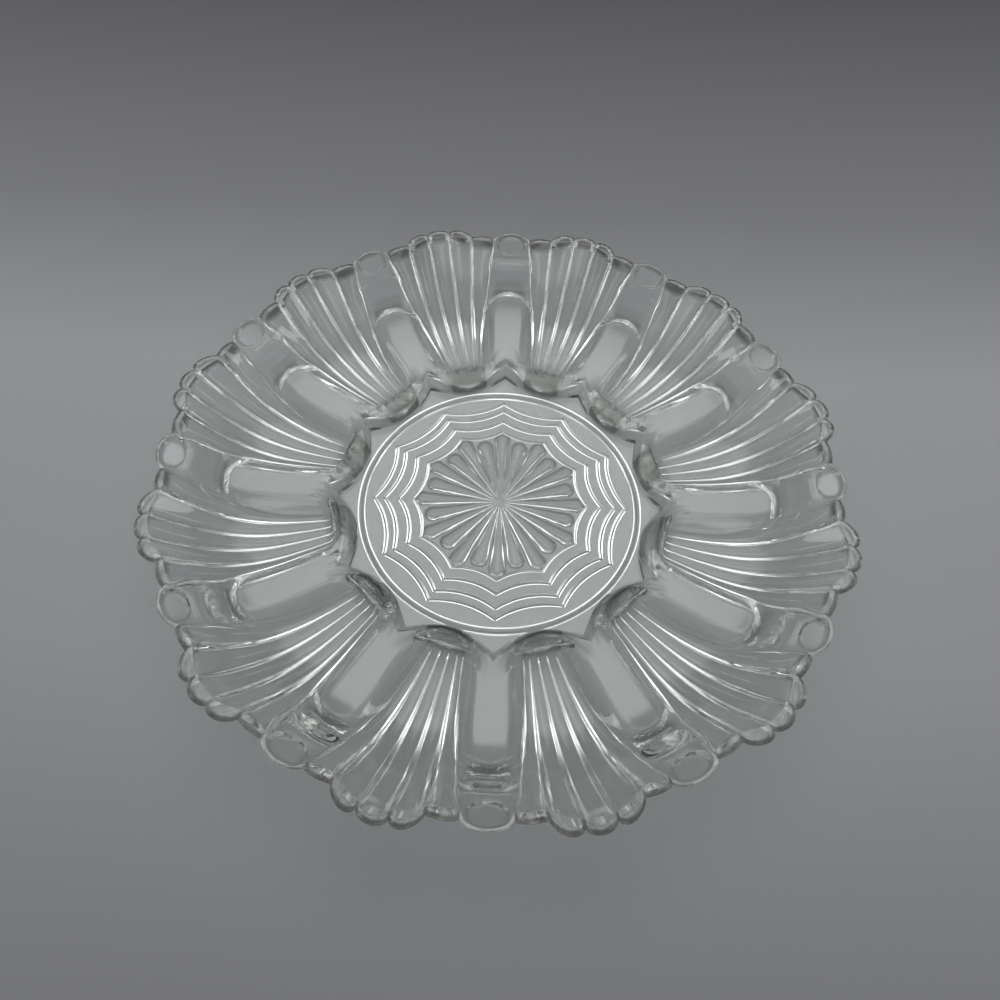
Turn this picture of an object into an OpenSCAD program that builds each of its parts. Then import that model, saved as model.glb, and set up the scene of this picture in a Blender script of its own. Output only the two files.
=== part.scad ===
// Deviled egg platter in clear pressed glass.
// The real platter is one pressing. Each node is one moulded region of it: the floor with its
// medallion and web rings, the foot ring, twelve shell shaped wells, the ridges between them and
// the flat tabs of the rim. Neighbours meet face to face. The platter stands on z = 0.

/* [Rim] */
// How far the rim swells outward between two tabs
rim_swell = 4.4; // [2:0.1:6]
// Height of the rim's upper face above the table
rim_z = 33.6; // [30:0.1:40]
// Thickness of the rim between two scallops
rim_t = 2.4; // [2:0.1:3.6]
// Width of the level lip, inward from the notches
lip_w = 2.6; // [2.2:0.1:3.6]
// How far the middle scallop of a group stands out
scallop_mid_d = 3.1; // [1:0.1:4.5]
// How far the scallops beside the middle one stand out
scallop_side_d = 3.5; // [1:0.1:4.5]
// How far the scallops beside the tabs stand out
scallop_end_d = 1.2; // [0.6:0.1:3]

/* [Tabs] */
// How far a tab stands out beyond the notches beside it
tab_out_d = 3.4; // [2:0.1:5]
// Distance from those notches inward to the inner edge of a tab
tab_in_d = 8.2; // [7.4:0.1:10]
// How far the inner edge of a tab lies below the rim
tab_drop = 5.6; // [3:0.1:8]
// Thickness of a tab
tab_t = 3; // [2.4:0.1:4]
// Depth of the shallow dish in a tab
dish_d = 0.7; // [0.2:0.1:1.2]
// Radius of the shallow dish in a tab
dish_r = 5.4; // [4:0.1:6]

/* [Wells] */
// Length of a well from its crest to the notches beside a tab
well_l = 67.7; // [62:0.1:76]
// Distance from the crest outward to where a well is deepest
well_low_d = 19.5; // [16:0.5:24]
// Height of the upper face where a well is deepest
well_low_z = 6.3; // [6:0.1:8]
// Rise of the well's floor from there to its inner end
well_in_rise = 0.8; // [0:0.1:2]
// Thickness of the glass under a well
glass_t = 3.4; // [3:0.1:4]
// Extra thickness of the steep outer wall, measured outward
wall_out_t = 2.4; // [1.6:0.1:3]
// Depth of a flute at the inner end of a well
flute_in_d = 0.9; // [0.4:0.1:1.4]
// Depth of a flute at the rim
flute_out_d = 3.8; // [0.6:0.1:4.2]

/* [Crest] */
// Width of the wall from the floor up to the crest
crest_in_w = 6; // [4.5:0.1:8]
// Height of the crest at the inner end of a well
crest_z = 16; // [13:0.1:19]
// Width of the wall from the crest down into the well
crest_w = 6; // [4.5:0.1:8]
// Height of the hollow under the crest
crest_hollow_z = 5.4; // [3:0.1:8]

/* [Ridges] */
// How much farther out two crests meet, where a ridge begins
ridge_in_d = 16.5; // [13:0.5:20]
// How far a ridge begins below the crest
ridge_dip = 3.2; // [1:0.1:4.5]
// Thickness of the glass over the hollow of a ridge
ridge_t = 3.8; // [3:0.1:5]
// Thickness of the side walls of a ridge
ridge_side_t = 2.6; // [2:0.1:4]
// Distance from a tab inward to where the hollow under a ridge begins to close
hollow_end_d = 13.5; // [11:0.5:17]
// Length of the steep end of the hollow
hollow_end_l = 5.5; // [3:0.1:8]
// How far the hollow's sides close inward of its middle
hollow_round_d = 4.5; // [0:0.5:7]

/* [Floor] */
// Width of the border from the last web line to the star outline in front of a well
border_w = 6; // [5.5:0.1:8]
// How much farther out the star's points lie, in front of the ridges
star_d = 8; // [5:0.1:10]
// Thickness of the floor at its border
floor_t = 4.5; // [4:0.1:6]
// Radius of the points of the innermost web line
web_in_r = 38.4; // [34:0.1:44]
// Width of the inner web ring
web_in_w = 6.3; // [5:0.1:8]
// Width of the middle web ring
web_mid_w = 6.2; // [5:0.1:8]
// Width of the outer web ring
web_out_w = 4.6; // [4:0.1:6]
// How much deeper each web ring is set than the one outside it
web_step_d = 0.35; // [0.1:0.05:0.45]
// Width of the bead along each web line
bead_w = 2; // [0.8:0.1:2.2]
// Depth of the bead along each web line
bead_d = 0.8; // [0.3:0.05:1]

/* [Petals] */
// Distance from the tips of the long petals to the first web line
petal_gap = 2.4; // [2.2:0.1:4]
// How much shorter the short petals are
petal_step_d = 3.6; // [2.6:0.1:5]
// Width of a petal at its round end
petal_w = 6.2; // [4:0.1:6.4]
// Width of a petal where it leaves the centre
petal_in_w = 0.3; // [0.2:0.1:0.9]
// Depth of the petals
petal_d = 1; // [0.4:0.1:1.2]
// Radius of the plain centre of the medallion
hub_r = 3.6; // [3.2:0.1:5]

/* [Foot] */
// Height of the foot ring
foot_h = 2; // [1.6:0.1:3]
// Distance from the foot ring to the edge of the floor in front of a well
foot_gap = 0.5; // [0.3:0.1:1.5]
// Width of the foot ring
foot_w = 3.2; // [2:0.1:3.4]
// Bevel of the foot ring's lower edges
foot_bevel = 0.7; // [0.3:0.1:0.9]

/* [Hidden] */
well_count = 12;
sector = 360 / well_count;
half_sector = sector / 2;
flutes = 5;
glass_colour = [0.80, 0.86, 0.83];
$fn = 120;

// Places across half a sector, as shares from a well's middle line at 0 to a ridge's at 1
flute_in_share = 0.46;
flute_out_share = 0.75;
swell_full_share = 0.10;
swell_end_share = 0.53;
ridge_foot_share = 0.70;
ridge_top_share = 0.65;

// Exponents that give the curves their form
crest_sweep_power = 3.2;
well_rise_power = 2.3;
ridge_rise_power = 3;
scallop_power = 0.65;
flute_power = 0.5;
flute_rise_power = 1.5;
tab_power = 0.75;
web_sag_share = 0.052;
tab_lip_share = 0.8;

floor_z = foot_h + floor_t;
tab_in_z = rim_z - tab_drop;
ridge_in_z = crest_z - ridge_dip;

web_mid_r = web_in_r + web_in_w;
web_out_r = web_mid_r + web_mid_w;
web_end_r = web_out_r + web_out_w;
petal_long_r = web_in_r - petal_gap;
petal_short_r = petal_long_r - petal_step_d;
star_in_r = web_end_r + border_w;
star_cusp_r = star_in_r + star_d;
foot_out_r = star_in_r - foot_gap;
foot_in_r = foot_out_r - foot_w;
crest_r = star_in_r + crest_in_w;
well_low_r = crest_r + well_low_d;
ridge_in_r = crest_r + ridge_in_d;
rim_tab_r = crest_r + well_l;
tab_out_r = rim_tab_r + tab_out_d;
tab_in_r = rim_tab_r - tab_in_d;

edge_r = rim_t / 2;
hollow_end_r = tab_in_r - hollow_end_d;
heel_r = hollow_end_r + hollow_end_l;
heel_end_r = (heel_r + tab_in_r) / 2;
lip_edge_r = rim_tab_r - lip_w;
tab_mid_r = (tab_in_r + tab_out_r) / 2;

// Rows of a region: [which stretch between two key lines, share of that stretch]
crest_rows = [[0, 0], [0, 1/2], [1, 0], [1, 1/2]];
slope_rows = [[2, 0], [2, 1/3], [2, 2/3], [3, 0], [4, 0], [5, 0]];
lip_rows = [[6, 0], [7, 0], [8, 0], [9, 0]];
well_rows = concat(crest_rows, slope_rows, lip_rows);
ridge_rows = concat(crest_rows, slope_rows, [[6, 0]]);
tab_rows = lip_rows;
crest_row = 1;
fan_first = 2;
fan_last = 7;
rim_row = 9;

// Columns of a region: [place across it from -1 to 1, place across its flute or tab]
flute_sides = [-90, -45, 0, 45];
well_cols = concat(
    [for (k = [0:flutes - 1]) for (s = flute_sides) [(2 * k + 1 + sin(s)) / flutes - 1, sin(s), k]],
    [[1, 1, flutes - 1]]
);
ridge_cols = [for (s = [-3:3]) [s / 3, s / 3, 0]];

function clamp01(u) = max(0, min(1, u));
function smooth(u) = let (v = clamp01(u)) v * v * (3 - 2 * v);
function mix(a, b, u) = a + (b - a) * u;
function polar(r, angle, z) = [r * cos(angle), r * sin(angle), z];

// Key lines that run around the platter, as radii at the share a of half a sector
function star_r(a) = mix(star_in_r, star_cusp_r, a * a);
function crest_line_r(a) = mix(crest_r, ridge_in_r, pow(a, crest_sweep_power));
function notch_line_r(a) =
    rim_tab_r + rim_swell * smooth((swell_end_share - a) / (swell_end_share - swell_full_share));
function lip_line_r(a) = notch_line_r(a) - lip_w;
function tab_line_r(a) = tab_in_r + lip_line_r(a) - lip_edge_r;

// Radius of a row. reach is how far the outline stands out beyond the notches there
function row_r(row, a, reach, follow) =
    let (
        edge = notch_line_r(a) + reach,
        keys = [
            star_r(a),
            crest_line_r(a),
            crest_line_r(a) + crest_w,
            hollow_end_r,
            heel_r,
            heel_end_r,
            tab_line_r(a),
            lip_line_r(a) + reach * follow,
            edge - edge_r,
            edge
        ]
    )
    row[1] == 0 ? keys[row[0]] : mix(keys[row[0]], keys[row[0] + 1], row[1]);

// Share of half a sector that the flutes fill at a row, from the inner end to the rim
function fan_share(row) =
    let (
        start = crest_r + crest_w,
        keys = [start, start, start, hollow_end_r, heel_r, heel_end_r, tab_in_r, lip_edge_r],
        k = min(row[0], fan_last),
        r = row[1] == 0 || k < fan_first ? keys[k] : mix(keys[k], keys[k + 1], row[1])
    )
    mix(flute_in_share, flute_out_share, (r - start) / (lip_edge_r - start));

// Heights of the upper face
function well_z(r, a) =
    let (
        outward = (r - well_low_r) / (lip_line_r(a) - well_low_r),
        inward = (well_low_r - r) / (well_low_r - crest_r - crest_w)
    )
    mix(well_low_z, rim_z, pow(clamp01(outward), well_rise_power))
    + well_in_rise * pow(clamp01(inward), 2);
function ridge_z(r) =
    let (along = clamp01((r - ridge_in_r) / (tab_in_r - ridge_in_r)))
    r < tab_in_r
        ? mix(ridge_in_z, tab_in_z, pow(along, ridge_rise_power))
        : mix(tab_in_z, rim_z, (r - tab_in_r) / (tab_out_r - tab_in_r));
function hump(a, fan) =
    let (
        low = fan * ridge_foot_share,
        high = mix(fan, 1, ridge_top_share)
    )
    smooth((a - low) / (high - low));
function crest_top_z(a) = mix(crest_z, ridge_in_z, a * a);
function ground_z(r, a, fan) = mix(well_z(r, a), ridge_z(r), hump(a, fan));
function over_crest(r, a, low, top, beyond) =
    let (mid = crest_line_r(a))
    r <= mid
        ? mix(low, top, sin(90 * clamp01((r - star_r(a)) / crest_in_w)))
        : mix(beyond, top, (1 + cos(180 * clamp01((r - mid) / crest_w))) / 2);
function top_z(r, a, fan) = over_crest(r, a, floor_z, crest_top_z(a), ground_z(r, a, fan));

// Heights of the lower face
function well_under_z(r, a) =
    let (in_r = r - wall_out_t * clamp01((r - well_low_r) / wall_out_t))
    well_z(in_r, a) - mix(glass_t, rim_t, clamp01((r - well_low_r) / (lip_edge_r - well_low_r)));
function ridge_under_z(r) =
    ridge_z(r) - mix(ridge_t, tab_t, clamp01((r - heel_end_r) / (tab_in_r - heel_end_r)));
function hollow_share(r, a, fan) =
    let (aside = clamp01((1 - a) / (1 - fan)))
    r < heel_r
        ? 1 - smooth((r - hollow_end_r + hollow_round_d * aside * aside) / hollow_end_l)
        : smooth((r - heel_r) / (tab_in_r - heel_r));
function side_share(r) = ridge_side_t / (r * sin(half_sector));
function ground_under_z(r, a, fan) =
    let (hollow = hump(a - side_share(r) * (1 - a), fan) * hollow_share(r, a, fan))
    mix(well_under_z(r, a), ridge_under_z(r), hollow);
function crest_under_z(a) = mix(crest_hollow_z, ridge_in_z - ridge_t, a * a);
function under_z(r, a, fan) = over_crest(r, a, foot_h, crest_under_z(a), ground_under_z(r, a, fan));

// How far a flute hangs below its grooves. x runs across the flute from -1 to 1
function flute_d(row, r, x) =
    let (
        outward = clamp01((r - crest_r) / (rim_tab_r - crest_r)),
        depth = mix(flute_in_d, flute_out_d, pow(outward, flute_rise_power))
    )
    row[0] + row[1] > crest_row ? depth * pow(max(0, 1 - x * x), flute_power) : 0;

// How far a tab's dish goes down
function dish_z(r, angle) =
    let (
        along = r * cos(angle) - tab_mid_r,
        across = r * sin(angle)
    )
    dish_d * smooth((dish_r - norm([along, across])) / (dish_r - tab_t));

// Lowest and highest point of the glass in a column, the same point at the rim's edge
function face_pair(row, top, under) =
    let (mid = (top + under) / 2)
    row[0] == rim_row ? [mid, mid] : [top, under];

function well_node(row, col) =
    let (
        fan = fan_share(row),
        a = abs(col[0]) * fan,
        depths = [scallop_end_d, scallop_side_d, scallop_mid_d, scallop_side_d, scallop_end_d],
        reach = depths[col[2]] * pow(max(0, 1 - col[1] * col[1]), scallop_power),
        r = row_r(row, a, reach, 0),
        z = face_pair(row, top_z(r, a, fan), under_z(r, a, fan) - flute_d(row, r, col[1]))
    )
    [for (height = z) polar(r, sign(col[0]) * a * half_sector, height)];

function ridge_node(row, col) =
    let (
        fan = fan_share(row),
        angle = col[0] * (1 - fan) * half_sector,
        a = 1 - abs(col[0]) * (1 - fan),
        reach = (tab_out_r - rim_tab_r) * pow(max(0, 1 - col[1] * col[1]), tab_power),
        r = row_r(row, a, row[0] < fan_last ? 0 : reach, tab_lip_share),
        top = top_z(r, a, fan) - dish_z(r, angle),
        z = face_pair(row, top, under_z(r, a, fan))
    )
    [for (height = z) polar(r, angle, height)];

// Closed skin over two grids of points, whose last rows are one row where the rim is closed
module skin(pairs, cols, rim_closed) {
    rows = len(pairs) / cols;
    top_points = [for (p = pairs) p[0]];
    under_points = [for (k = [0:len(pairs) - 1 - (rim_closed ? cols : 0)]) pairs[k][1]];
    function top(i, j) = i * cols + j;
    function under(i, j) = (rim_closed && i == rows - 1) ? top(i, j) : rows * cols + i * cols + j;
    upper = [
        for (i = [0:rows - 2], j = [0:cols - 2])
            each [
                [top(i, j), top(i, j + 1), top(i + 1, j + 1)],
                [top(i, j), top(i + 1, j + 1), top(i + 1, j)]
            ]
    ];
    lower = [
        for (i = [0:rows - 2], j = [0:cols - 2])
            each [
                [under(i, j), under(i + 1, j + 1), under(i, j + 1)],
                [under(i, j), under(i + 1, j), under(i + 1, j + 1)]
            ]
    ];
    inner_end = [for (j = [0:cols - 2]) [top(0, j), under(0, j), under(0, j + 1), top(0, j + 1)]];
    outer_end = rim_closed
        ? []
        : [
            for (j = [0:cols - 2])
                [top(rows - 1, j), top(rows - 1, j + 1), under(rows - 1, j + 1), under(rows - 1, j)]
        ];
    first_side = [
        for (i = [0:rows - 2])
            rim_closed && i == rows - 2
                ? [top(i, 0), top(i + 1, 0), under(i, 0)]
                : [top(i, 0), top(i + 1, 0), under(i + 1, 0), under(i, 0)]
    ];
    last_side = [
        for (i = [0:rows - 2])
            let (j = cols - 1)
            rim_closed && i == rows - 2
                ? [top(i, j), under(i, j), top(i + 1, j)]
                : [top(i, j), under(i, j), under(i + 1, j), top(i + 1, j)]
    ];
    polyhedron(
        points = concat(top_points, under_points),
        faces = concat(upper, lower, inner_end, outer_end, first_side, last_side),
        convexity = 6
    );
}

// Region between two web lines or inside one, seen from above
module web_outline(cusp_r) {
    sag = cusp_r * web_sag_share;
    half_chord = cusp_r * sin(half_sector);
    arc_r = (half_chord * half_chord + sag * sag) / (2 * sag);
    difference() {
        circle(r = cusp_r, $fn = well_count);
        for (k = [1:well_count])
            rotate((k - 1/2) * sector)
                translate([cusp_r * cos(half_sector) - sag + arc_r, 0])
                    circle(r = arc_r);
    }
}

module web_band(inner_r, outer_r, depth) {
    band_z = foot_h + depth;
    translate([0, 0, band_z])
        linear_extrude(floor_z - band_z)
            difference() {
                web_outline(outer_r);
                web_outline(inner_r);
            }
    web_bead(outer_r, band_z);
}

module web_bead(outer_r, under) {
    translate([0, 0, under - bead_d])
        linear_extrude(bead_d)
            difference() {
                web_outline(outer_r);
                web_outline(outer_r - bead_w);
            }
}

module petal(tip_r) {
    round_r = petal_w / 2;
    end_r = tip_r - round_r;
    union() {
        polygon([
            [0, petal_in_w / 2],
            [0, -petal_in_w / 2],
            [end_r, -round_r],
            [end_r, round_r]
        ]);
        translate([end_r, 0])
            circle(r = round_r);
    }
}

module star_medallion() {
    under = foot_h + 4 * web_step_d;
    color(glass_colour) {
        translate([0, 0, under])
            linear_extrude(floor_z - under)
                web_outline(web_in_r);
        translate([0, 0, under - petal_d])
            linear_extrude(petal_d)
                union() {
                    circle(r = hub_r);
                    for (k = [1:well_count]) {
                        rotate(k * sector)
                            petal(petal_long_r);
                        rotate((k - 1/2) * sector)
                            petal(petal_short_r);
                    }
                }
    }
}

module web_ring_inner() {
    color(glass_colour)
        web_band(web_in_r, web_mid_r, 3 * web_step_d);
}

module web_ring_middle() {
    color(glass_colour)
        web_band(web_mid_r, web_out_r, 2 * web_step_d);
}

module web_ring_outer() {
    color(glass_colour)
        web_band(web_out_r, web_end_r, web_step_d);
}

module floor_border() {
    first = [0, 0];
    star = [
        for (k = [0:well_count - 1])
            each concat(
                [for (c = ridge_cols) ridge_node(first, c)[0] * turn(k * sector)],
                [
                    for (c = well_cols)
                        if (abs(c[0]) < 1) well_node(first, c)[0] * turn((k + 1/2) * sector)
                ]
            )
    ];
    color(glass_colour)
        translate([0, 0, foot_h])
            linear_extrude(floor_t)
                difference() {
                    polygon([for (p = star) [p[0], p[1]]]);
                    web_outline(web_end_r);
                }
}

// Turns a row vector about the vertical axis
function turn(angle) = [
    [cos(angle), sin(angle), 0],
    [-sin(angle), cos(angle), 0],
    [0, 0, 1]
];

module foot_ring() {
    color(glass_colour)
        rotate_extrude()
            polygon([
                [foot_in_r, foot_h],
                [foot_in_r, foot_bevel],
                [foot_in_r + foot_bevel, 0],
                [foot_out_r - foot_bevel, 0],
                [foot_out_r, foot_bevel],
                [foot_out_r, foot_h]
            ]);
}

module well(k) {
    color(glass_colour)
        rotate((k - 1/2) * sector)
            skin([for (row = well_rows, col = well_cols) well_node(row, col)], len(well_cols), true);
}

module ridge(k) {
    color(glass_colour)
        rotate((k - 1) * sector)
            skin([for (row = ridge_rows, col = ridge_cols) ridge_node(row, col)], len(ridge_cols), false);
}

module tab(k) {
    color(glass_colour)
        rotate((k - 1) * sector)
            skin([for (row = tab_rows, col = ridge_cols) ridge_node(row, col)], len(ridge_cols), true);
}

function numbered(name, k) = str(name, "_", k < 10 ? "0" : "", k);

star_medallion();
web_ring_inner();
web_ring_middle();
web_ring_outer();
floor_border();
foot_ring();
for (k = [1:well_count]) {
    well(k);
    ridge(k);
    tab(k);
}
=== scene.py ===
# %% [markdown]
# # A deviled egg platter in clear pressed glass
# The real platter is one pressing: a flat floor with a star of petals and web rings under it, twelve
# shell shaped wells around it, a hollow ridge between each two wells and a flat tab at the rim of each
# ridge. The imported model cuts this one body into 42 named regions. Here each region gets a finer
# skin, and the cuts between them are kept out of sight, so that the glass reads as one body.

# %% Load the frame
import math

import bmesh
import bpy
import numpy as np
from mathutils import Matrix, Vector


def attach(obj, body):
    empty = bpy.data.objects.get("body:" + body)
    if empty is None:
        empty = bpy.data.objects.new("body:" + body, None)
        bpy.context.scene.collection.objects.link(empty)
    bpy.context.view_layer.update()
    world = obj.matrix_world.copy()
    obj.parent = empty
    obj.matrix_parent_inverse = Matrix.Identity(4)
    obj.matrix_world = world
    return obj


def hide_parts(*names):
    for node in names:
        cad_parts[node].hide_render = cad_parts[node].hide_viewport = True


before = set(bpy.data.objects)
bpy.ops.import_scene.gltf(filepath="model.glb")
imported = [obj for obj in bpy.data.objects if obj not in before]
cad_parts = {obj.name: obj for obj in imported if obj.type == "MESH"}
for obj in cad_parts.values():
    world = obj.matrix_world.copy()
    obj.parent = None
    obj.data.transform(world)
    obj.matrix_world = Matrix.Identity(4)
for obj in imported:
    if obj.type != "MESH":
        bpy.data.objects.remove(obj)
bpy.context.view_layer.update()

print("regions in the frame:", len(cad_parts))

# %% [markdown]
# ## Sizes
# The same named sizes as in the part's source, in millimetres. All shapes below are worked out from
# them, so that each fine skin lies on its plain solid. A few are a little fuller than in the source,
# such as the petals, the beads and the dish, because fine relief is left to this script. Vertices are
# turned into metres at the very end.

# %% Sizes of the platter
MM = 0.001
wells = 12
sector = math.radians(360 / wells)
half_sector = sector / 2
flutes = 5

web_r = [38.4, 44.7, 50.9, 55.5]
web_sag_share = 0.052
web_step, bead_w, bead_d = 0.35, 2.1, 1.1
petal_long_r, petal_short_r, petal_w, petal_in_w, petal_d = 36.0, 32.4, 6.2, 0.3, 1.3
star_in_r, star_cusp_r, floor_t = 61.5, 69.5, 4.5
foot_h, foot_r, foot_w, foot_bevel = 2.0, 59.4, 3.2, 1.35

crest_in_w, crest_w, crest_z, crest_hollow_z = 6.0, 6.0, 16.0, 5.4
crest_r = star_in_r + crest_in_w
well_low_r, well_low_z, well_in_rise = crest_r + 19.5, 6.3, 0.8
glass_t, wall_out_t = 3.4, 2.4
flute_in_d, flute_out_d, flute_rise_power = 0.9, 3.8, 1.5
flute_in_power, flute_out_power, flute_power_share = 1.0, 0.66, 1.6

rim_tab_r, rim_swell, rim_z, rim_t, lip_w = crest_r + 67.7, 4.4, 33.6, 2.4, 2.6
scallop_short = 0.2
scallop_reach = np.array([1.2, 3.5, 3.1, 3.5, 1.2]) - scallop_short
tab_out_r, tab_in_r, tab_in_z, tab_t = rim_tab_r + 3.4, rim_tab_r - 8.2, rim_z - 5.6, 3.0
dish_d, dish_r, dish_w = 1.3, 4.7, 7.6

ridge_in_r, ridge_in_z, ridge_t, ridge_side_t = crest_r + 16.5, crest_z - 3.2, 3.8, 2.6
hollow_end_r, hollow_end_l, hollow_round_d = tab_in_r - 13.5, 5.5, 4.5

floor_z = foot_h + floor_t
edge_round, lip_round = 2.4, 0.7
heel_r = hollow_end_r + hollow_end_l
heel_end_r = (heel_r + tab_in_r) / 2
lip_edge_r = rim_tab_r - lip_w
tab_mid_r = (tab_in_r + tab_out_r) / 2
print("floor at", floor_z, "mm, rim at", rim_z, "mm")

# %% [markdown]
# ## Blends
# Three small curves do most of the work: a plain mix of two values, a mix that eases in and out, and a
# limit to the range from 0 to 1. They take whole arrays, so a skin is warped in one go.

# %% Small blends
def within(u):
    """u held between 0 and 1."""
    return np.clip(u, 0, 1)


def ease(u):
    """0 to 1 with level ends."""
    v = within(u)
    return v * v * (3 - 2 * v)


def mix(low, high, u):
    return low + (high - low) * u


print("half way, eased:", float(ease(0.5)))

# %% [markdown]
# ## Key lines around the platter
# Ten lines run around it, from the star outline at the floor to the outermost edge. a is the place
# across half a sector, 0 on a well's middle line and 1 on a ridge's. The shares and exponents are the
# source's. A row of the skin lies on one key line or between two, at a place p from 0 to 9.

# %% Key lines
def star_line(a):
    return mix(star_in_r, star_cusp_r, a**2)


def crest_line(a):
    return mix(crest_r, ridge_in_r, a**3.2)


def notch_line(a):
    return rim_tab_r + rim_swell * ease((0.53 - a) / (0.53 - 0.10))


def row_radius(p, a, reach, follow):
    """Radius of the row at place p. reach is how far the outline stands out beyond the notches."""
    lip = notch_line(a) - lip_w
    edge = notch_line(a) + reach
    keys = np.stack(
        np.broadcast_arrays(
            star_line(a),
            crest_line(a),
            crest_line(a) + crest_w,
            hollow_end_r,
            heel_r,
            heel_end_r,
            tab_in_r + lip - lip_edge_r,
            lip + reach * follow,
            edge - edge_round,
            edge,
        )
    )
    k = np.minimum(p.astype(int), 8)
    share = np.where(k == 8, np.sin((p - k) * math.pi / 2), p - k)
    here = np.take_along_axis(keys, k[None], 0)[0]
    beyond = np.take_along_axis(keys, k[None] + 1, 0)[0]
    return mix(here, beyond, share)


def fan_share(p):
    """Share of half a sector that a well's flutes fill at a row."""
    start = crest_r + crest_w
    places = [2, 3, 4, 5, 6, 7]
    radii = [start, hollow_end_r, heel_r, heel_end_r, tab_in_r, lip_edge_r]
    r = np.interp(p, places, radii)
    return mix(0.46, 0.75, (r - start) / (lip_edge_r - start))


for place in (2.0, 9.0):
    print("flutes fill", round(float(fan_share(np.array(place))), 2), "of a sector at place", place)

# %% [markdown]
# ## Heights of the upper and the lower face
# Seen along a radius, the glass climbs from the floor over a crest, drops into the well and rises to
# the rim. Across a sector it swells into the ridge. Under the ridge the glass is hollow, because a
# press keeps the wall about as thick everywhere, and the hollow closes in a steep end near the tab.

# %% Heights
def well_height(r, a):
    outward = within((r - well_low_r) / (notch_line(a) - lip_w - well_low_r))
    inward = within((well_low_r - r) / (well_low_r - crest_r - crest_w))
    return mix(well_low_z, rim_z, outward**2.3) + well_in_rise * inward**2


def ridge_height(r):
    climb = within((r - ridge_in_r) / (tab_in_r - ridge_in_r)) ** 3
    beyond = (r - tab_in_r) / (tab_out_r - tab_in_r)
    return np.where(r < tab_in_r, mix(ridge_in_z, tab_in_z, climb), mix(tab_in_z, rim_z, beyond))


def hump(a, fan):
    low = fan * 0.70
    high = mix(fan, 1, 0.52)
    return ease((a - low) / (high - low))


def over_crest(r, a, low, top, beyond):
    mid = crest_line(a)
    climb = np.sin(within((r - star_line(a)) / crest_in_w) * math.pi / 2)
    drop = (1 + np.cos(within((r - mid) / crest_w) * math.pi)) / 2
    return np.where(r <= mid, mix(low, top, climb), mix(beyond, top, drop))


def upper_height(r, a, fan):
    ground = mix(well_height(r, a), ridge_height(r), hump(a, fan))
    return over_crest(r, a, floor_z, mix(crest_z, ridge_in_z, ease(a)), ground)


def lower_height(r, a, fan):
    steep = wall_out_t * within((r - well_low_r) / wall_out_t)
    thick = mix(glass_t, rim_t, within((r - well_low_r) / (lip_edge_r - well_low_r)))
    well = well_height(r - steep, a) - thick
    ridge = ridge_height(r) - mix(ridge_t, tab_t, within((r - heel_end_r) / (tab_in_r - heel_end_r)))
    aside = within((1 - a) / (1 - fan))
    hollow = np.where(
        r < heel_r,
        1 - ease((r - hollow_end_r + hollow_round_d * aside**2) / hollow_end_l),
        ease((r - heel_r) / (tab_in_r - heel_r)),
    )
    side = ridge_side_t / (r * math.sin(half_sector))
    ground = mix(well, ridge, hump(a - side * (1 - a), fan) * hollow)
    crest = mix(crest_hollow_z, ridge_in_z - ridge_t, ease(a))
    return over_crest(r, a, foot_h, crest, ground)


def rounded(p, top, under, lower):
    """Height of a vertex. The lower face curves up to the rim's edge, the upper one is eased a little."""
    bent = np.cos(within(p - 8) * math.pi / 2)
    edge = top - lip_round
    return np.where(lower > 0.5, mix(edge, under, bent), mix(edge, top, bent))


for place in (75.0, 100.0, 130.0):
    print("well at", place, "mm is", round(float(well_height(np.array(place), np.array(0.0))), 1), "mm high")

# %% [markdown]
# ## A slab to warp
# Every region starts as the same thing: a flat grid with a lower face under it, made by extruding the grid
# and keeping the first face. Its walls are where the region meets its neighbours. A formula then moves the
# vertices into place. The walls get a second material that shows nothing, because there is no surface inside
# the real glass. Each vertex also carries two looks for the material: how rough the mould has left the glass
# there, and how much painted shade darkens the glass's tint there, in grooves, along edges and at the rim.

# %% The slab
GLASS, CUT = 0, 1


def slab(cols, rows):
    """A grid of cols by rows cells with a lower face. x and y run from 0 to 1, z is 0 above and 1 below."""
    bm = bmesh.new()
    bmesh.ops.create_grid(bm, x_segments=cols, y_segments=rows, size=0.5)
    low = min(v.co.x for v in bm.verts)
    wide = max(v.co.x for v in bm.verts) - low
    bmesh.ops.translate(bm, verts=bm.verts, vec=(-low, -low, 0))
    bmesh.ops.scale(bm, verts=bm.verts, vec=(1 / wide, 1 / wide, 1))
    upper = bm.faces[:]
    made = bmesh.ops.extrude_face_region(bm, geom=upper, use_keep_orig=True)["geom"]
    bmesh.ops.translate(bm, verts=[v for v in made if isinstance(v, bmesh.types.BMVert)], vec=(0, 0, 1))
    for face in bm.faces:
        heights = {round(v.co.z) for v in face.verts}
        face.material_index = GLASS if len(heights) == 1 else CUT
    return bm


def grid_of(bm):
    """x, y and z of all vertices as three arrays."""
    return np.array([v.co for v in bm.verts]).T


def warp(bm, x, y, z, rough=0.0, painted_shade=0.0):
    """Moves all vertices to places given in mm, notes their roughness and painted shade and closes seams and
    poles.
    """
    looks = [bm.verts.layers.float.new(name) for name in ("rough", "painted_shade")]
    table = np.stack(np.broadcast_arrays(x * MM, y * MM, z * MM, rough, painted_shade), 1)
    for v, row in zip(bm.verts, table):
        v.co = row[:3]
        v[looks[0]], v[looks[1]] = row[3:]
    bmesh.ops.remove_doubles(bm, verts=bm.verts, dist=1e-7)
    bmesh.ops.recalc_face_normals(bm, faces=bm.faces)


trial = slab(2, 2)
print("a 2 by 2 slab has", len(trial.faces), "faces")
trial.free()

# %% [markdown]
# ## From a shape to a piece
# A finished piece keeps its place in its mesh. Edges where two faces turn by more than 38 degrees stay
# crisp, such as the grooves between flutes, and all others are smooth.

# %% Making pieces
crisp = math.radians(38)
pieces = []


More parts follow.
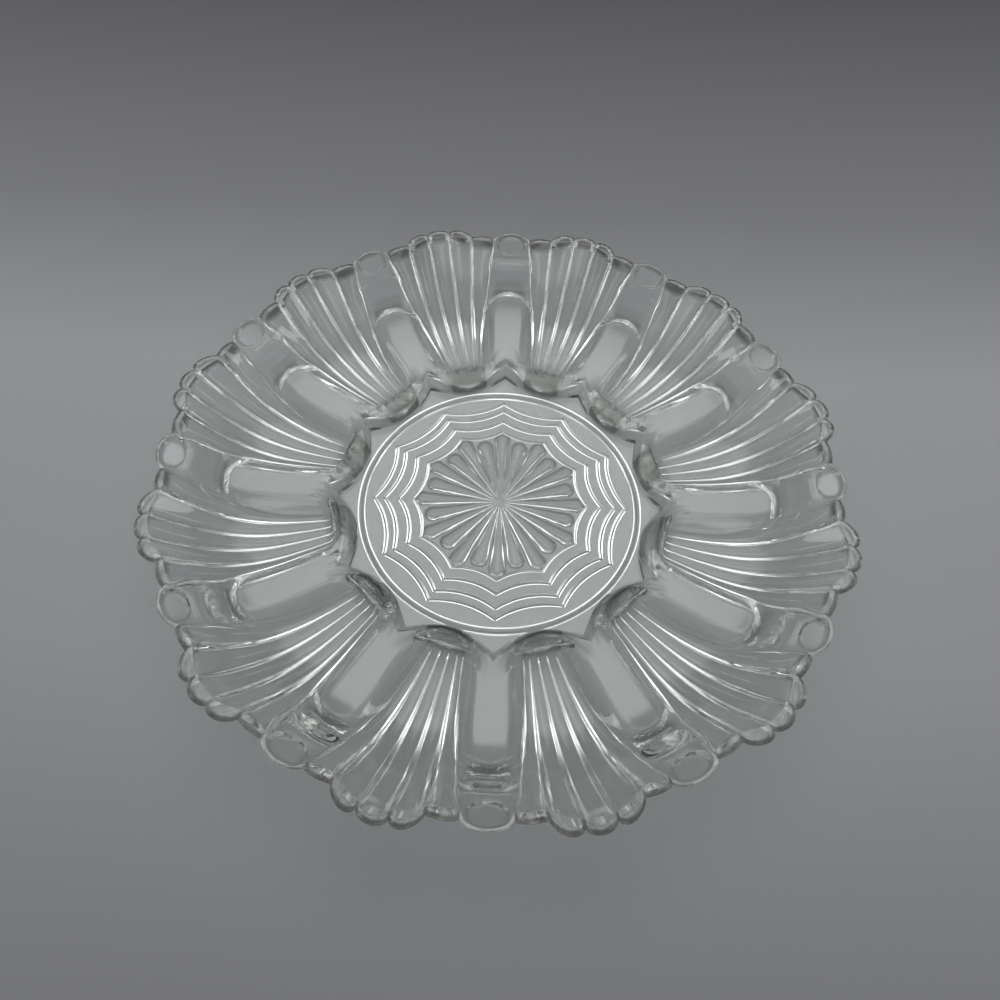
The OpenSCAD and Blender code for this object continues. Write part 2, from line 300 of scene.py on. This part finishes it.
def piece(bm, name, *nodes):
    """The finished shape as an object that stands for its nodes in the frame."""
    mesh = bpy.data.meshes.new(name)
    bm.to_mesh(mesh)
    bm.free()
    mesh.shade_smooth()
    mesh.set_sharp_from_angle(angle=crisp)
    made = bpy.data.objects.new(name, mesh)
    bpy.context.scene.collection.objects.link(made)
    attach(made, "root")
    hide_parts(*nodes)
    pieces.append(made)
    return made


def numbered(name, k):
    return f"{name}_{k:02d}"


def turned(bm, angle):
    """The same shape turned about the platter's axis."""
    bmesh.ops.rotate(bm, verts=bm.verts, cent=(0, 0, 0), matrix=Matrix.Rotation(angle, 3, "Z"))
    return bm


print("pieces are named like", numbered("well", 1))

# %% [markdown]
# ## Rows
# Rows are close together where the glass turns fast: over the crest, at the end of the hollow and
# around the rim. One list says how many steps lie between each two key lines.

# %% Rows of the skins
steps = [14, 10, 16, 10, 4, 4, 8, 6, 6]


def row_places(first, last):
    """Places of the rows from key line first to key line last."""
    places = [np.linspace(k, k + 1, steps[k], endpoint=False) for k in range(first, last)]
    return np.concatenate(places + [[last]])


print("rows of a well:", len(row_places(0, 9)))

# %% [markdown]
# ## Wells
# A well is a shell: a smooth hollow above with five flutes below that fan out and end as scallops of the rim.
# A column of the grid belongs to one flute, and a sine packs the columns close to the grooves between flutes,
# where the glass turns sharply. The flutes start in round tips at the foot of the crest, shallow and soft,
# and turn deep and half round outward. The scallops come from the same place across the flute, so that groove
# and notch meet. The crest is rough, most of all below, and its tint gets painted shade, as the rim, the
# outer grooves and the lines between the flutes do.

# %% The wells
def well_shape(per_flute=10):
    places = row_places(0, 9)
    bm = slab(flutes * per_flute, len(places) - 1)
    u, v, lower = grid_of(bm)
    p = places[np.rint(v * (len(places) - 1)).astype(int)]
    k = np.minimum((u * flutes + 1e-6).astype(int), flutes - 1)
    x = np.sin((2 * (u * flutes - k) - 1) * math.pi / 2)
    across = (2 * k + 1 + x) / flutes - 1
    fan = fan_share(p)
    a = np.abs(across) * fan
    reach = scallop_reach[k] * np.maximum(0, 1 - x**2) ** 0.65
    r = row_radius(p, a, reach, 0)
    top = upper_height(r, a, fan)
    start = 1.12 + 0.25 * x**2
    outward = within((r - crest_r) / (rim_tab_r - crest_r))
    depth = ease((p - start) / 0.4) * mix(flute_in_d, flute_out_d, outward**flute_rise_power)
    power = mix(flute_in_power, flute_out_power, within(flute_power_share * outward))
    under = lower_height(r, a, fan) - depth * np.maximum(0, 1 - x**2) ** power
    z = rounded(p, top, under, lower)
    turn = across * fan * half_sector
    # Painted shade: the crest, the rim, the outer grooves and thin lines between the flutes get a darker
    # tint; the crest and the rim are also rough.
    crest = ease(p / 0.3) * ease((1.5 - p) / 0.4)
    rim = ease((p - 8.0) / 0.3)
    groove = ease((np.abs(x) - 0.80) / 0.15) * ease((p - 7.0) / 0.6)
    line = mix(0.4, 0.6, lower) * ease((np.abs(x) - 0.90) / 0.1) * ease((p - 1.3) / 0.3)
    rough = np.maximum(mix(0.5, 1, lower) * crest, 0.35 * rim)
    painted_shade = np.max([mix(0.85, 1.0, lower) * crest, rim, groove, line], 0)
    warp(bm, r * np.cos(turn), r * np.sin(turn), z, rough, painted_shade)
    return bm


for k in range(1, wells + 1):
    piece(turned(well_shape(), (k - 0.5) * sector), numbered("glass_well", k), numbered("well", k))
print("faces of a well:", len(pieces[-1].data.polygons))

# %% [markdown]
# ## Ridges and tabs
# A ridge fills the sector between two wells, narrow at the rim and wide at the crest. It ends at a tab, a
# flat disc with a shallow oval dish that stands a little inward of the scallops. Both come from one formula,
# the ridge from the rows up to the tab's inner edge and the tab from the rest. The steep end of the hollow is
# rough and gets painted shade, and so does the crest near the wells. The tab's rim and the dish's edge get
# painted shade too.

# %% The ridges and the tabs
def ridge_shape(first, last, cols=26):
    places = row_places(first, last)
    bm = slab(cols, len(places) - 1)
    u, v, lower = grid_of(bm)
    p = places[np.rint(v * (len(places) - 1)).astype(int)]
    x = mix(2 * u - 1, np.sin((2 * u - 1) * math.pi / 2), within(p - 5))
    fan = fan_share(p)
    turn = x * (1 - fan) * half_sector
    a = 1 - np.abs(x) * (1 - fan)
    reach = (tab_out_r - rim_tab_r) * np.maximum(0, 1 - x**2) ** 0.75
    r = row_radius(p, a, np.where(p < 7, 0, reach), 0.8)
    from_mid = np.hypot((r * np.cos(turn) - tab_mid_r) / dish_r, r * np.sin(turn) / dish_w)
    top = upper_height(r, a, fan) - dish_d * ease((1 - from_mid) / 0.2)
    under = lower_height(r, a, fan)
    z = rounded(p, top, under, lower)
    crest = ease(p / 0.3) * ease((1.5 - p) / 0.4) * ease((0.8 - a) / 0.34)
    end = ease((p - 3.0) / 0.4) * ease((4.1 - p) / 0.3) * ease((0.85 - np.abs(x)) / 0.3)
    # Painted shade: a darker tint at the dish's edge, on the crest, at the hollow's steep end and on the
    # tab's rim.
    dish_edge_shade = 0.5 * (1 - lower) * ease(1 - np.abs(from_mid - 0.9) / 0.14)
    painted_shade = np.max([0.3 * crest, mix(0.25, 0.8, lower) * end, 0.5 * ease((p - 8.4) / 0.4), dish_edge_shade], 0)
    rough = lower * np.maximum(crest, end)
    warp(bm, r * np.cos(turn), r * np.sin(turn), z, rough, painted_shade)
    return bm


for k in range(1, wells + 1):
    piece(turned(ridge_shape(0, 6), (k - 1) * sector), numbered("glass_ridge", k), numbered("ridge", k))
    piece(turned(ridge_shape(6, 9), (k - 1) * sector), numbered("glass_tab", k), numbered("tab", k))
print("faces of a ridge and a tab:", [len(p.data.polygons) for p in pieces[-2:]])

# %% [markdown]
# ## Floor: lines of the web
# The web lines are four copies of one outline, a ring of twelve arcs that bend inward between points.
# A row of the floor lies on one such outline, so a step or a bead along it stays clean.

# %% The web outline
def web_shape(turn):
    """Radius of the web outline in a direction, for points at radius 1."""
    half_chord = math.sin(half_sector)
    arc = (half_chord**2 + web_sag_share**2) / (2 * web_sag_share)
    centre = math.cos(half_sector) - web_sag_share + arc
    off = np.mod(turn, sector) - half_sector
    return centre * np.cos(off) - np.sqrt(arc**2 - (centre * np.sin(off)) ** 2)


def ring_grid(cols, radii):
    """A slab bent to a ring, its arrays: the direction, the row and 0 above or 1 below."""
    bm = slab(cols, len(radii) - 1)
    near_zero, near_one = 1e-6, 1 - 1e-6
    spans = {face: [v.co.x for v in face.verts] for face in bm.faces}
    ends = [face for face, span in spans.items() if max(span) < near_zero or min(span) > near_one]
    bmesh.ops.delete(bm, geom=ends, context="FACES")
    u, v, lower = grid_of(bm)
    row = np.rint(v * (len(radii) - 1)).astype(int)
    return bm, u * 2 * math.pi, row, lower > 0.5


bent_in = float(web_shape(np.array(half_sector)))
print("the arcs bend in to", round(bent_in, 3), "of the points' radius")

# %% [markdown]
# ## Floor: web rings
# Each ring is set a little higher than the one outside it, and a round bead runs along its outer line.
# The bead hangs below and ends at the level of the next ring, so the rings meet without a gap. The bead, with
# painted shade along its middle, is why a web line shows as two bright lines with a darker one between them.

# %% The web rings
def beaded(rho, level, outer, next_level, wide=bead_w):
    """Height of a ring's lower face at radius rho, with the bead before its outer line."""
    place = within((rho - outer + wide) / wide)
    return mix(level, next_level, ease(place)) - bead_d * np.sin(place * math.pi) ** 0.6


def bead_middle_shade(rho, outer, wide=bead_w):
    """Painted shade under the middle of a bead, 0 off it."""
    place = (rho - outer + wide) / wide
    return ease(1 - np.abs(place - 0.5) / 0.35)


def web_ring(inner, outer, level, next_level, name, node):
    start = outer - 1.4 * bead_w
    radii = np.concatenate([np.linspace(inner, start, 7, endpoint=False), np.linspace(start, outer, 22)])
    bm, turn, row, lower = ring_grid(wells * 40, radii)
    rho = radii[row]
    r = rho * web_shape(turn)
    z = np.where(lower, beaded(rho, level, outer, next_level), floor_z)
    # The lower face gets painted shade under the middle of its bead.
    warp(bm, r * np.cos(turn), r * np.sin(turn), z, 0.0, lower * bead_middle_shade(rho, outer))
    return piece(bm, name, node)


levels = [foot_h + web_step * k for k in (4, 3, 2, 1, 0)]
for k, name in enumerate(["inner", "middle", "outer"]):
    web_ring(web_r[k], web_r[k + 1], levels[k + 1], levels[k + 2], "glass_web_" + name, "web_ring_" + name)
print("levels under the rings:", [round(z, 2) for z in levels])

# %% [markdown]
# ## Floor: the medallion
# Twenty four petals with round tips stand in relief under the middle, long ones towards the tabs and
# short ones between. A petal is a wedge with a round end: the distance from its middle line, set
# against its half width there, gives a pillowed relief. The rows change from circles at the hub to the
# web outline at the edge, where the first bead runs.

# %% The medallion
def petal_relief(r, turn):
    """Depth of the petals' relief, 0 between petals, and the painted shade along their edges."""
    nth = np.rint(turn / half_sector)
    tip = np.where(nth.astype(int) % 2 == 0, petal_long_r, petal_short_r)
    off = turn - nth * half_sector
    along, aside = r * np.cos(off), np.abs(r * np.sin(off))
    end = tip - petal_w / 2
    half = mix(petal_in_w, petal_w, within(along / end)) / 2
    near = np.where(along < end, aside / half, np.hypot(along - end, aside) / (petal_w / 2))
    # Painted shade: a band along each petal's edge.
    petal_edge_shade = ease((near - 0.72) / 0.2) * ease((1.35 - near) / 0.2) * within(r / 12)
    return petal_d * within(half / 2.2) * np.maximum(0, 1 - near**2) ** 0.75, petal_edge_shade


def medallion():
    edge, slim = web_r[0], bead_w * 0.75
    middle = np.linspace(0, edge - slim, 46, endpoint=False)
    radii = np.concatenate([middle, np.linspace(edge - slim, edge, 11)])
    bm, turn, row, lower = ring_grid(wells * 2 * 16, radii)
    rho = radii[row]
    packed = turn + 0.35 / 24 * np.sin(24 * turn)
    r = rho * mix(1, web_shape(packed), ease(rho / edge * 1.4 - 0.4))
    relief, petal_edge_shade = petal_relief(r, packed)
    under = beaded(rho, levels[0], edge, levels[1], slim) - relief
    # Painted shade along the petals' edges and in the middle of the first bead.
    painted_shade = lower * np.maximum(petal_edge_shade, bead_middle_shade(rho, edge, slim))
    warp(bm, r * np.cos(packed), r * np.sin(packed), np.where(lower, under, floor_z), 0.0, painted_shade)
    return piece(bm, "glass_medallion", "star_medallion")


medallion()
print("faces of the medallion:", len(pieces[-1].data.polygons))

# %% [markdown]
# ## Floor: border
# The border runs from the last web line to the star outline at the feet of the crests. Its rows lie on
# four lines: the web outline, the two edges of the foot ring, and the star. Where it meets the foot
# ring there is no surface, so those faces are cuts.

# %% The border
def border():
    inner, outer = foot_r - foot_w / 2, foot_r + foot_w / 2
    bm, turn, row, lower = ring_grid(wells * 40, range(12))
    off = np.abs(np.mod(turn, sector) - half_sector) / half_sector
    lines = [web_r[3] * web_shape(turn), np.full_like(turn, inner), np.full_like(turn, outer), star_line(off)]
    spans = [mix(lines[k], lines[k + 1], (row - 4 * k) / 4) for k in (0, 1, 2)]
    r = np.choose(np.minimum(row // 4, 2), spans)
    r = np.where(row == 11, lines[3], r)
    warp(bm, r * np.cos(turn), r * np.sin(turn), np.where(lower, foot_h, floor_z))
    for face in bm.faces:
        centre = face.calc_center_median()
        if face.normal.z < -0.5 and inner * MM < math.hypot(centre.x, centre.y) < outer * MM:
            face.material_index = CUT
    return piece(bm, "glass_border", "floor_border")


border()

# %% [markdown]
# ## The foot ring
# The foot ring hangs under the border and is the only thing that touches the table. It is a small
# rectangle with its lower corners rounded, spun around the axis.

# %% The foot ring
def foot_ring():
    bm = bmesh.new()
    bmesh.ops.create_grid(bm, x_segments=1, y_segments=1, size=0.5)
    low = min(v.co.x for v in bm.verts)
    wide = max(v.co.x for v in bm.verts) - low
    bmesh.ops.scale(bm, verts=bm.verts, vec=(foot_w * MM / wide, foot_h * MM / wide, 1))
    bmesh.ops.rotate(bm, verts=bm.verts, cent=(0, 0, 0), matrix=Matrix.Rotation(math.pi / 2, 3, "X"))
    bmesh.ops.translate(bm, verts=bm.verts, vec=(foot_r * MM, 0, foot_h * MM / 2))
    lower = [v for v in bm.verts if v.co.z < foot_h * MM / 2]
    bmesh.ops.bevel(
        bm,
        geom=lower,
        offset=foot_bevel * MM,
        segments=8,
        profile=0.5,
        affect="VERTICES",
        material=-1,
    )
    outline = bm.edges[:]
    bmesh.ops.delete(bm, geom=bm.faces[:], context="FACES_ONLY")
    bmesh.ops.spin(
        bm,
        geom=outline,
        cent=(0, 0, 0),
        axis=(0, 0, 1),
        angle=2 * math.pi,
        steps=240,
        use_merge=True,
    )
    bmesh.ops.remove_doubles(bm, verts=bm.verts, dist=1e-7)
    bmesh.ops.recalc_face_normals(bm, faces=bm.faces)
    for face in bm.faces:
        face.material_index = CUT if face.normal.z > 0.9 else GLASS
    return piece(bm, "glass_foot_ring", "foot_ring")


foot_ring()
print("pieces:", len(pieces), "faces in all:", sum(len(p.data.polygons) for p in pieces))

# %% [markdown]
# ## One body again
# Each region has smoothed its own normals, which leaves a faint line where two regions meet. Here the
# corners that lie at the same place on neighbouring regions are gathered, and each takes the mean
# direction of all faces there that turn by less than the crisp angle, as if the body were never cut.

# %% Normals across the cuts
def seam_corners(mesh):
    """Corners of glass faces that touch a cut: (corner, place, face normal, angle at the corner)."""
    touched = set()
    for face in mesh.polygons:
        if face.material_index == CUT:
            touched.update(face.vertices)
    found = []
    for face in mesh.polygons:
        if face.material_index == GLASS:
            ring = face.vertices
            for n, v in enumerate(ring):
                if v in touched:
                    here = mesh.vertices[v].co
                    one = mesh.vertices[ring[n - 1]].co - here
                    two = mesh.vertices[ring[(n + 1) % len(ring)]].co - here
                    found.append((face.loop_start + n, here, face.normal, one.angle(two, 0)))
    return found


def one_body(parts):
    at_place = {}
    found = [seam_corners(part.data) for part in parts]
    for corners in found:
        for corner, here, normal, angle in corners:
            key = tuple(round(c / MM, 3) for c in here)
            at_place.setdefault(key, []).append((normal.copy(), angle))
    bend = math.cos(crisp)
    for part, corners in zip(parts, found):
        normals = [(0, 0, 0)] * len(part.data.loops)
        for corner, here, normal, angle in corners:
            key = tuple(round(c / MM, 3) for c in here)
            mean = Vector((0, 0, 0))
            for other, weight in at_place[key]:
                if other.dot(normal) > bend:
                    mean += other * weight
            normals[corner] = mean.normalized()
        part.data.normals_split_custom_set(normals)
    return len(at_place)


print("places on the cuts:", one_body(pieces))

# %% [markdown]
# ## Clear pressed glass
# Pressed soda glass is clear with a faint grey green tint, and its skin isn't quite flat: the iron mould
# leaves a soft waviness, finer than the flutes, and the fire polish smooths it without taking it away. Where
# the polish doesn't reach, under the crests and at the ends of the hollows, a fine grain stays. The waviness
# and the grain are noise in a bump, and both looks that the vertices carry go through one group with named
# sockets: the rough one gives more grain and a little haze, and the painted shade mixes the tint from nearly
# clear to a dark grey, so that grooves, lines and edges look darker as painted shade.

# %% The glass skin and its painted shade as a node group
def skin_and_shade_group():
    group = bpy.data.node_groups.new("mould_skin_and_painted_shade", "ShaderNodeTree")
    sizes = {"Wave Scale": 60.0, "Wave Height": 0.35, "Grain Scale": 1100.0, "Grain Height": 0.03}
    sizes |= {"Rough": 0.0, "Rough Height": 2.4, "Rough Haze": 0.04, "Painted_shade": 0.0}
    for name, value in sizes.items():
        group.interface.new_socket(name, in_out="INPUT", socket_type="NodeSocketFloat").default_value = value
    for name, kind in (("Height", "Float"), ("Haze", "Float"), ("Tint", "Color")):
        group.interface.new_socket(name, in_out="OUTPUT", socket_type="NodeSocket" + kind)
    nodes, links = group.nodes, group.links
    given, out = nodes.new("NodeGroupInput").outputs, nodes.new("NodeGroupOutput")
    place = nodes.new("ShaderNodeTexCoord")

    def noise(scale):
        made = nodes.new("ShaderNodeTexNoise")
        made.inputs["Detail"].default_value = 1.5
        links.new(place.outputs["Object"], made.inputs["Vector"])
        links.new(scale, made.inputs["Scale"])
        return made.outputs["Fac"]

    def maths(operation, *values):
        made = nodes.new("ShaderNodeMath")
        made.operation = operation
        for value, socket in zip(values, made.inputs):
            if isinstance(value, float):
                socket.default_value = value
            else:
                links.new(value, socket)
        return made.outputs[0]

    wave, grain = noise(given["Wave Scale"]), noise(given["Grain Scale"])
    gain = maths("MULTIPLY_ADD", given["Rough"], given["Rough Height"], given["Grain Height"])
    bumps = maths("MULTIPLY", grain, gain)
    links.new(maths("MULTIPLY_ADD", wave, given["Wave Height"], bumps), out.inputs["Height"])
    haze = maths("MULTIPLY_ADD", given["Rough"], given["Rough Haze"], maths("MULTIPLY", wave, 0.02))
    links.new(haze, out.inputs["Haze"])
    # The tint mixes the glass's own faint grey green (A) with a dark grey (B) that is painted shade, by the
    # painted shade value.
    tint = nodes.new("ShaderNodeMix")
    tint.data_type = "RGBA"
    tint.inputs["A"].default_value = (0.935, 0.968, 0.942, 1)
    tint.inputs["B"].default_value = (0.12, 0.126, 0.11, 1)
    links.new(given["Painted_shade"], tint.inputs["Factor"])
    links.new(tint.outputs["Result"], out.inputs["Tint"])
    return group


mould_skin_and_painted_shade = skin_and_shade_group()
print("sockets:", [socket.name for socket in mould_skin_and_painted_shade.interface.items_tree])

# %% [markdown]
# ## The glass and the cuts
# The glass is a Principled shader with full transmission and the index of soda glass. Lamps reach
# through it by way of a transparent shader that only shadow rays see, since path tracing would
# otherwise leave the table under a clear dish as dark as under a board. The cuts let all light pass.

# %% The glass and the cuts
def clear_glass():
    material = bpy.data.materials.new("clear_pressed_glass")
    material.use_nodes = True
    nodes, links = material.node_tree.nodes, material.node_tree.links
    glass, out = nodes["Principled BSDF"], nodes["Material Output"]
    glass.inputs["Transmission Weight"].default_value = 1.0
    glass.inputs["IOR"].default_value = 1.52
    skin = nodes.new("ShaderNodeGroup")
    skin.node_tree = mould_skin_and_painted_shade
    # Roughness gives grain and haze; the painted shade value darkens the tint.
    for name in ("Rough", "Painted_shade"):
        look = nodes.new("ShaderNodeAttribute")
        look.attribute_name = name.lower()
        links.new(look.outputs["Fac"], skin.inputs[name])
    bump = nodes.new("ShaderNodeBump")
    bump.inputs["Distance"].default_value = 0.0005
    bump.inputs["Strength"].default_value = 0.5
    links.new(skin.outputs["Height"], bump.inputs["Height"])
    links.new(skin.outputs["Haze"], glass.inputs["Roughness"])
    links.new(skin.outputs["Tint"], glass.inputs["Base Color"])
    links.new(bump.outputs["Normal"], glass.inputs["Normal"])
    path = nodes.new("ShaderNodeLightPath")
    through, pick = nodes.new("ShaderNodeBsdfTransparent"), nodes.new("ShaderNodeMixShader")
    through.inputs["Color"].default_value = (0.945, 0.955, 0.95, 1)
    links.new(path.outputs["Is Shadow Ray"], pick.inputs["Fac"])
    links.new(glass.outputs["BSDF"], pick.inputs[1])
    links.new(through.outputs["BSDF"], pick.inputs[2])
    links.new(pick.outputs["Shader"], out.inputs["Surface"])
    return material


def inner_cut():
    material = bpy.data.materials.new("cut_inside_glass")
    material.use_nodes = True
    nodes, links = material.node_tree.nodes, material.node_tree.links
    through = nodes.new("ShaderNodeBsdfTransparent")
    through.inputs["Color"].default_value = (1, 1, 1, 1)
    nodes.remove(nodes["Principled BSDF"])
    links.new(through.outputs["BSDF"], nodes["Material Output"].inputs["Surface"])
    return material


pressed, cut = clear_glass(), inner_cut()
for part in pieces:
    part.data.materials.append(pressed)
    part.data.materials.append(cut)
print("materials:", pressed.name, "and", cut.name)

# %% [markdown]
# ## Setting
# The platter stands on a pale grey sweep, a sheet that lies flat and curves up behind. It is a grid whose far
# rows follow an arc. It isn't part of the object. A ramp along its length paints light and shade into the
# paper: a painted pool of light under the platter, and painted shade towards the front and the back.

# %% The sweep
def sweep():
    bm = bmesh.new()
    bmesh.ops.create_grid(bm, x_segments=2, y_segments=60, size=1)
    sheet_l, sheet_front, half_wide, start, bend = 2.2, 1.2, 2.2, 0.30, 0.9
    low = min(v.co.y for v in bm.verts)
    for v in bm.verts:
        along = (v.co.y / -low + 1) / 2 * sheet_l - sheet_front
        turn = min(max((along - start) / bend, 0), math.pi / 2)
        rest = max(along - start - bend * math.pi / 2, 0)
        flat = min(along, start)
        v.co = (v.co.x / -low * half_wide, flat + bend * math.sin(turn), bend * (1 - math.cos(turn)) + rest)
    mesh = bpy.data.meshes.new("paper_sweep")
    bmesh.ops.recalc_face_normals(bm, faces=bm.faces)
    bm.to_mesh(mesh)
    bm.free()
    mesh.shade_smooth()
    made = bpy.data.objects.new("paper_sweep", mesh)
    bpy.context.scene.collection.objects.link(made)
    return made


backdrop = sweep()
paper = bpy.data.materials.new("grey_paper")
paper.use_nodes = True
nodes, links = paper.node_tree.nodes, paper.node_tree.links
sheet = nodes["Principled BSDF"]
sheet.inputs["Roughness"].default_value = 0.85
sheet.inputs["Specular IOR Level"].default_value = 0.2
where, apart = nodes.new("ShaderNodeTexCoord"), nodes.new("ShaderNodeSeparateXYZ")
far, shade = nodes.new("ShaderNodeMapRange"), nodes.new("ShaderNodeValToRGB")
far.inputs["From Min"].default_value, far.inputs["From Max"].default_value = -0.4, 0.8
# The ramp paints light and shade into the paper: a painted pool of light under the platter, painted shade
# towards the front and the back.
painted_light_and_shade = ((0.0, 0.16), (0.15, 0.20), (0.28, 0.32), (0.40, 0.36), (0.50, 0.225), (0.70, 0.11), (0.85, 0.04))
for place, level in painted_light_and_shade:
    stop = shade.color_ramp.elements.new(place) if place else shade.color_ramp.elements[0]
    stop.color = (level * 0.98, level * 0.995, level * 1.035, 1)
shade.color_ramp.elements.remove(shade.color_ramp.elements[-1])
links.new(where.outputs["Object"], apart.inputs[0])
links.new(apart.outputs["Y"], far.inputs["Value"])
links.new(far.outputs["Result"], shade.inputs["Fac"])
links.new(shade.outputs["Color"], sheet.inputs["Base Color"])
backdrop.data.materials.append(paper)
print("sweep is", [round(side, 2) for side in backdrop.dimensions], "m")

# %% [markdown]
# ## Light
# Two weak soft panels stand low at the sides. They light the table evenly and draw bright edges on the
# sides of the rim, the ridges and the web lines.

# %% The lamps
def soft_lamp(name, place, target, wide, deep, watts):
    light = bpy.data.lights.new(name, "AREA")
    light.shape = "RECTANGLE"
    light.size, light.size_y = wide, deep
    light.energy = watts
    lamp = bpy.data.objects.new(name, light)
    lamp.location = place
    lamp.rotation_euler = (Vector(target) - Vector(place)).to_track_quat("-Z", "Y").to_euler()
    bpy.context.scene.collection.objects.link(lamp)
    return lamp


soft_lamp("left_panel", (-1.3, 0.25, 0.55), (0, 0, 0.02), 0.3, 0.7, 2.0)
soft_lamp("right_panel", (1.3, 0.25, 0.55), (0, 0, 0.02), 0.3, 0.7, 2.0)

# %% [markdown]
# ## The room
# Clear glass shows what is around it, so the world is a room and not one plain grey. It is dark behind
# and paler in front, with a pale ceiling and two soft bright patches on it, one that shines on the wells
# at the back and one that shines on the wells in front. Near the horizon it is the floor's grey all
# round. Each patch is the angle between a direction and the patch's middle, eased between two angles.
# Light passes many layers of glass here, so more bounces are allowed than usual.

# %% The room
world = bpy.data.worlds.new("room")
world.use_nodes = True
nodes, links = world.node_tree.nodes, world.node_tree.links
ways = nodes.new("ShaderNodeTexCoord")


def toward(direction, low, high, slim=1.0):
    """Goes from 0 at low degrees off a direction to 1 at high degrees. A slim below 1 widens it in x."""
    wide, unit, dot = (nodes.new("ShaderNodeVectorMath") for _ in range(3))
    level = nodes.new("ShaderNodeMapRange")
    wide.operation, unit.operation = "MULTIPLY", "NORMALIZE"
    wide.inputs[1].default_value = (slim, 1, 1)
    dot.operation, level.interpolation_type = "DOT_PRODUCT", "SMOOTHSTEP"
    dot.inputs[1].default_value = Vector(direction).normalized()
    level.inputs["From Min"].default_value = math.cos(math.radians(low))
    level.inputs["From Max"].default_value = math.cos(math.radians(high))
    links.new(ways.outputs["Generated"], wide.inputs[0])
    links.new(wide.outputs["Vector"], unit.inputs[0])
    links.new(unit.outputs["Vector"], dot.inputs[0])
    links.new(dot.outputs["Value"], level.inputs["Value"])
    return level.outputs["Result"]


def blend(share, under, over):
    mixed = nodes.new("ShaderNodeMix")
    mixed.data_type = "RGBA"
    links.new(share, mixed.inputs["Factor"])
    for name, value in (("A", under), ("B", over)):
        if isinstance(value, tuple):
            mixed.inputs[name].default_value = value
        else:
            links.new(value, mixed.inputs[name])
    return mixed.outputs["Result"]


room = blend(toward((0, -1, 0.2), 100, 30), (0.06, 0.06, 0.062, 1), (0.22, 0.217, 0.205, 1))
ceiling = blend(toward((0, 0.1, 1), 62, 35, 0.7), room, (0.55, 0.55, 0.55, 1))
front = blend(toward((0, -1.15, 1), 20, 10, 0.7), ceiling, (1.8, 1.8, 1.8, 1))
lit = blend(toward((0, 0.6, 1), 22, 13, 0.6), front, (2.0, 2.0, 2.0, 1))
horizon = blend(toward((0, 0, 1), 62, 84), lit, (0.2, 0.2, 0.203, 1))
links.new(horizon, nodes["Background"].inputs["Color"])
nodes["Background"].inputs["Strength"].default_value = 1.0
bpy.context.scene.cycles.max_bounces = 32
bpy.context.scene.cycles.transmission_bounces = 32
bpy.context.scene.cycles.glossy_bounces = 16
bpy.context.scene.world = world
bpy.context.scene.view_settings.view_transform = "Standard"
print("bounces:", bpy.context.scene.cycles.max_bounces)

# %% [markdown]
# ## Camera
# The camera was solved from the photograph: the rim's tabs, the web and the petals' tips were matched
# with their places on the platter. It stands close, looks down steeply and is rolled a little.

# %% The camera
def photo_camera():
    rise, away = math.radians(57.45), 0.33993
    aim = Vector((0, 0, 0.01125))
    back = Vector((0, -math.cos(rise), math.sin(rise)))
    right, up = Vector((1, 0, 0)), back.cross(Vector((1, 0, 0)))
    pan, tilt, roll = (math.radians(turn) for turn in (-0.0065, -0.46, 3.18))
    ahead = -back * math.cos(tilt) * math.cos(pan) + up * math.sin(tilt)
    ahead += right * math.sin(pan) * math.cos(tilt)
    ahead.normalize()
    side = ahead.cross(up).normalized()
    top = side.cross(ahead)
    level = side * math.cos(roll) + top * math.sin(roll)
    upright = top * math.cos(roll) - side * math.sin(roll)
    stand = Matrix((level, upright, -ahead)).transposed().to_4x4()
    stand.translation = aim + back * away
    camera = bpy.data.objects.new("photo_camera", bpy.data.cameras.new("photo_camera"))
    camera.data.sensor_width = 36
    camera.data.lens = 28.833
    camera.data.clip_start = 0.01
    camera.matrix_world = Matrix.Rotation(math.radians(-0.61), 4, "Z") @ stand
    bpy.context.scene.collection.objects.link(camera)
    bpy.context.scene.camera = camera
    return camera


print("camera at", [round(c, 3) for c in photo_camera().matrix_world.translation], "m")
